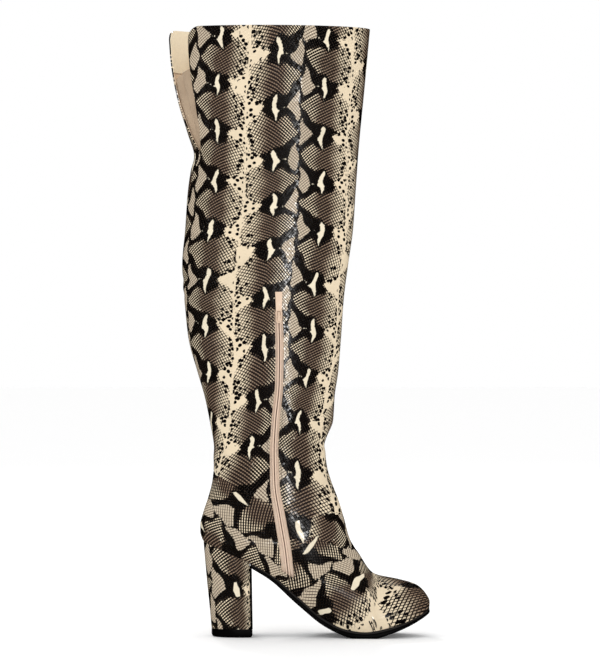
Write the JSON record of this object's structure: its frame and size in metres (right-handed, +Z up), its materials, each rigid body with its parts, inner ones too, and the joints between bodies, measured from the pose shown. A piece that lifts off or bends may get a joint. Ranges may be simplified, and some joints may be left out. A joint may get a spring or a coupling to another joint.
{
  "type": "thigh-high boot",
  "caption": "Thigh-high boot with a covered block heel, a stepped sole, an inner-side zip with a swinging pull tab and a gored slit at the back of the collar.",
  "frame": {"origin": "on the floor, at the middle of the boot's footprint box", "axes": "+X to the toe, +Y to the wearer's left and away from the zip, +Z up"},
  "size_m": [0.2632, 0.104, 0.6101],
  "materials": {
    "print_leather": "glossy coated leather with an embossed scale grain and a snake print",
    "elastic": "ribbed tan elastic",
    "sock": "matt tan sock",
    "sole": "black moulded, satin",
    "zip_cloth": "woven beige tape",
    "zip_coil": "beige nylon coil",
    "zip_enamel": "beige enamel"
  },
  "bodies": {
    "boot": {"upper": "print_leather", "back_gore": "elastic", "insole": "sock", "outsole": "sole", "heel": "print_leather", "heel_top_lift": "sole", "heel_breast_flap": "sole", "zip_tape": "zip_cloth", "zip_coil": "zip_coil", "zip_slider": "zip_enamel"},
    "pull_tab": {"zip_pull_tab": "zip_enamel"}
  },
  "joints": [
    {"name": "tab_swing", "type": "hinge", "parent": "boot", "child": "pull_tab", "pos_m": [-0.02256, -0.04555, 0.321], "axis": [1, 0, 0], "range_deg": [0, 180]}
  ]
}
